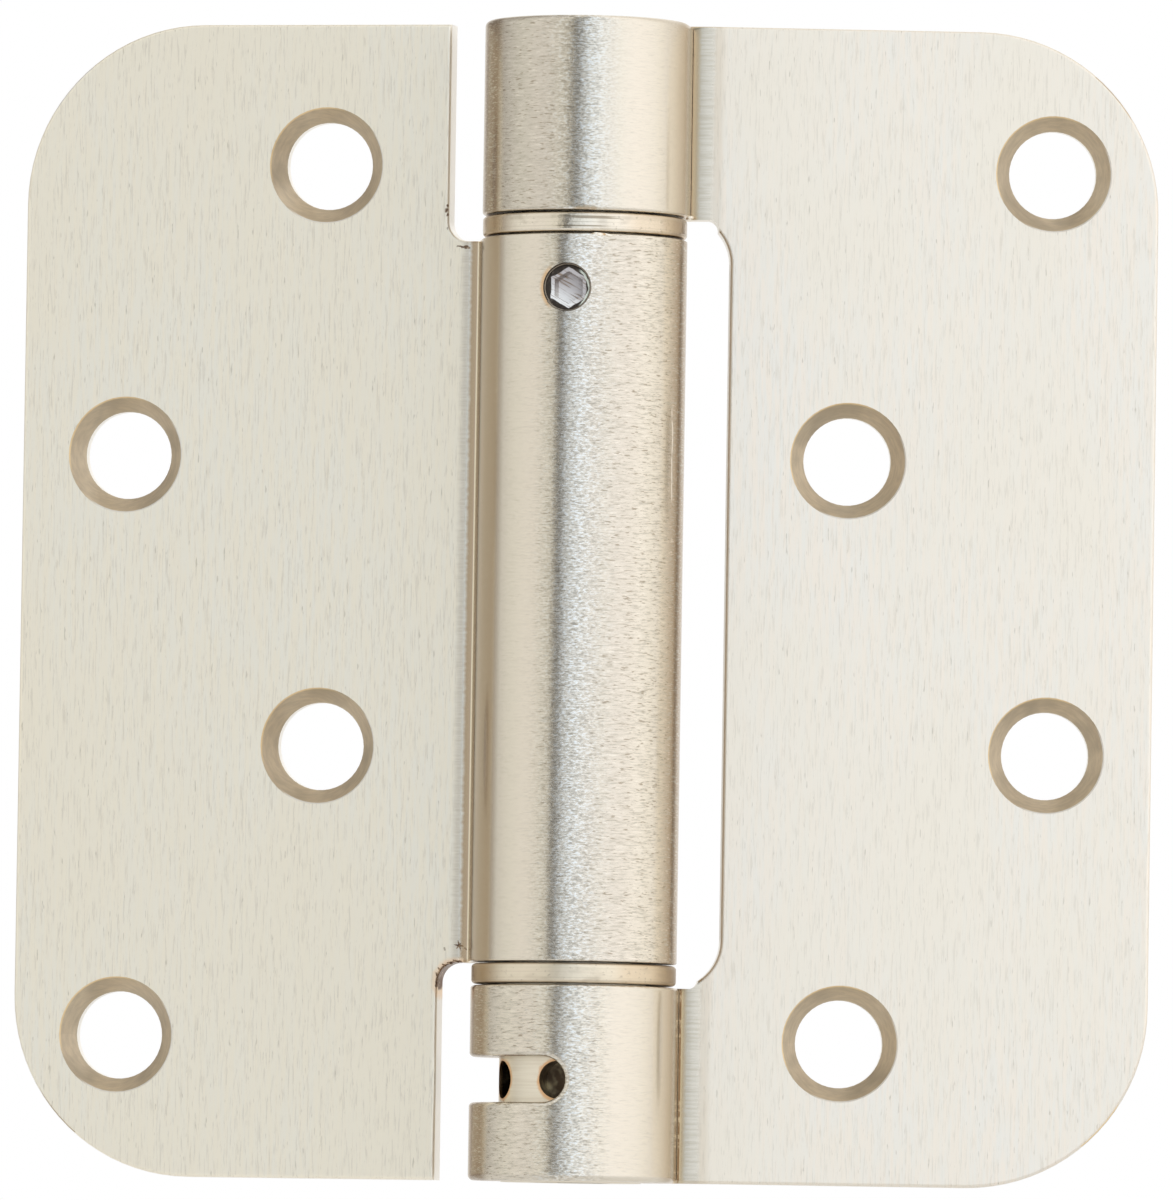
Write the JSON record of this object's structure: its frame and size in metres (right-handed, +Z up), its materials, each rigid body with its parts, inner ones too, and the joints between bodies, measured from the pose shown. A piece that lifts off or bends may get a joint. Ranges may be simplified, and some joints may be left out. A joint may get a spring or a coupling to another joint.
{
  "type": "spring loaded door hinge",
  "caption": "Round cornered butt hinge whose rolled barrel hides a torsion spring, wound by a drilled spindle seen through a slot in the bottom knuckle.",
  "frame": {"origin": "on the pin axis at mid height", "axes": "+Z up along the pin axis; the frame leaf lies along +X with its countersunk face towards -Y and its back towards +Y"},
  "size_m": [0.0991, 0.0253, 0.1017],
  "materials": {
    "leaf_steel": "dull plated steel, vertical brush lines on the leaves, ground round the knuckles",
    "washer_steel": "finely turned steel",
    "spindle_steel": "satin turned steel",
    "spring_steel": "oiled spring wire",
    "black_steel": "black oxide",
    "bushing_nylon": "natural nylon"
  },
  "bodies": {
    "frame": {"frame_leaf": "leaf_steel", "top_cap": "washer_steel", "upper_bushing": "bushing_nylon", "lower_washer": "washer_steel"},
    "barrel": {"barrel_leaf": "leaf_steel", "anchor_plug": "spindle_steel", "set_screw": "black_steel", "upper_washer": "washer_steel", "lower_bushing": "bushing_nylon", "torsion_spring": "spring_steel"},
    "spindle": {"adjusting_spindle": "spindle_steel", "retaining_ring": "black_steel"}
  },
  "joints": [
    {"name": "leaf_swing", "type": "hinge", "parent": "frame", "child": "barrel", "pos_m": [0, 0, 0], "axis": [0, 0, 1], "range_deg": [-130, 195]},
    {"name": "spindle_turn", "type": "hinge", "parent": "barrel", "child": "spindle", "pos_m": [0, 0, 0], "axis": [0, 0, 1], "range_deg": [0, 240], "stiffness_Nm_per_rad": 0.88, "deforming": ["torsion_spring"]}
  ]
}
